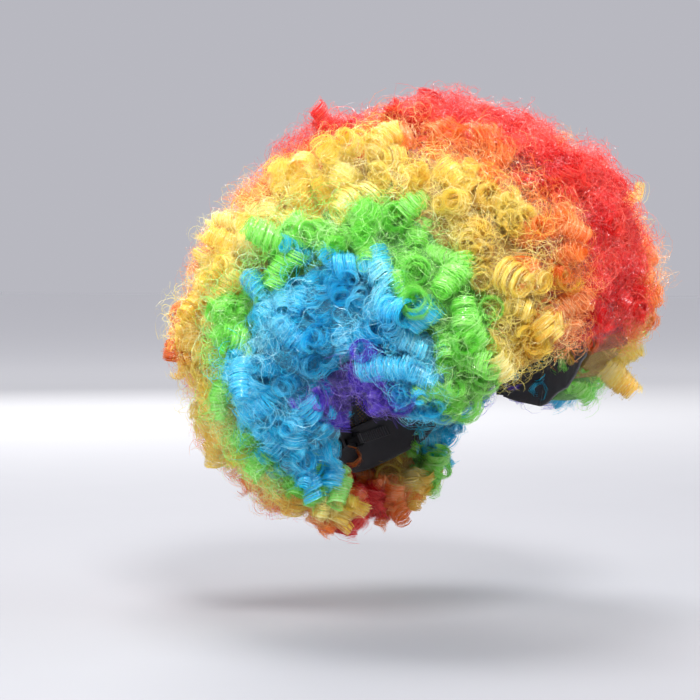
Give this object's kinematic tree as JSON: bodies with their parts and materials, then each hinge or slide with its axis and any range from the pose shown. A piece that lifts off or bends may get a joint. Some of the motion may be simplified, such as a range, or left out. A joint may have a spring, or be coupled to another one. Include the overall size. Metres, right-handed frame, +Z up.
{
  "type": "costume wig",
  "caption": "Bushy curly costume wig in rainbow rings on a stretch cap with net panels, weft tracks and hooked elastic adjusters.",
  "frame": {"origin": "centre of the head opening at the level where the head is widest round", "axes": "+Z up towards the crown, the wearer faces -Y, and the wearer's right side is -X"},
  "size_m": [0.3028, 0.3147, 0.2785],
  "materials": {
    "net": "matt stretch net",
    "ribbon": "soft woven ribbon",
    "band": "matt stretch cloth",
    "weft_tape": "stitched tape",
    "elastic": "ribbed elastic",
    "label": "smooth woven label, blank",
    "hook_plastic": "satin",
    "purple_hair": "shiny curled synthetic fibre",
    "blue_hair": "shiny curled synthetic fibre",
    "green_hair": "shiny curled synthetic fibre",
    "yellow_hair": "shiny curled synthetic fibre",
    "orange_hair": "shiny curled synthetic fibre",
    "red_hair": "shiny curled synthetic fibre"
  },
  "bodies": {
    "cap": {"crown_net": "net", "front_band": "band", "nape_band": "band", "centre_ribbon": "ribbon", "cross_ribbon": "ribbon", "care_label": "label", "red_hair": "red_hair", "red_weft_1": "weft_tape", "red_weft_2": "weft_tape", "red_weft_3": "weft_tape", "red_weft_4": "weft_tape", "side_net_right": "net", "ear_tab_right": "band", "ear_binding_right": "elastic", "purple_hair_right": "purple_hair", "purple_weft_right_1": "weft_tape", "blue_hair_right": "blue_hair", "blue_weft_right_1": "weft_tape", "blue_weft_right_2": "weft_tape", "green_hair_right": "green_hair", "green_weft_right_1": "weft_tape", "green_weft_right_2": "weft_tape", "yellow_hair_right": "yellow_hair", "yellow_weft_right_1": "weft_tape", "yellow_weft_right_2": "weft_tape", "orange_hair_right": "orange_hair", "orange_weft_right_1": "weft_tape", "orange_weft_right_2": "weft_tape", "adjuster_loops_right": "elastic", "side_net_left": "net", "ear_tab_left": "band", "ear_binding_left": "elastic", "purple_hair_left": "purple_hair", "purple_weft_left_1": "weft_tape", "blue_hair_left": "blue_hair", "blue_weft_left_1": "weft_tape", "blue_weft_left_2": "weft_tape", "green_hair_left": "green_hair", "green_weft_left_1": "weft_tape", "green_weft_left_2": "weft_tape", "yellow_hair_left": "yellow_hair", "yellow_weft_left_1": "weft_tape", "yellow_weft_left_2": "weft_tape", "orange_hair_left": "orange_hair", "orange_weft_left_1": "weft_tape", "orange_weft_left_2": "weft_tape", "adjuster_loops_left": "elastic"},
    "adjuster_hook_left": {"adjuster_hook_left": "hook_plastic"},
    "adjuster_hook_right": {"adjuster_hook_right": "hook_plastic"},
    "adjuster_strap_left": {"adjuster_strap_left": "elastic"},
    "adjuster_strap_right": {"adjuster_strap_right": "elastic"}
  },
  "joints": [
    {"name": "strap_swing_right", "type": "hinge", "parent": "cap", "child": "adjuster_strap_right", "pos_m": [-0.05298, 0.06568, -0.04168], "axis": [0.0247, -0.4333, -0.9009], "range_deg": [0, 60]},
    {"name": "strap_swing_left", "type": "hinge", "parent": "cap", "child": "adjuster_strap_left", "pos_m": [0.05298, 0.06568, -0.04168], "axis": [0.0247, 0.4333, 0.9009], "range_deg": [0, 60]},
    {"name": "hook_turn_right", "type": "hinge", "parent": "adjuster_strap_right", "child": "adjuster_hook_right", "pos_m": [-0.0348, 0.0777, -0.04703], "axis": [0.0117, -0.4273, -0.904], "range_deg": [0, 90]},
    {"name": "hook_turn_left", "type": "hinge", "parent": "adjuster_strap_left", "child": "adjuster_hook_left", "pos_m": [0.0348, 0.0777, -0.04703], "axis": [0.0117, 0.4273, 0.904], "range_deg": [0, 90]}
  ]
}
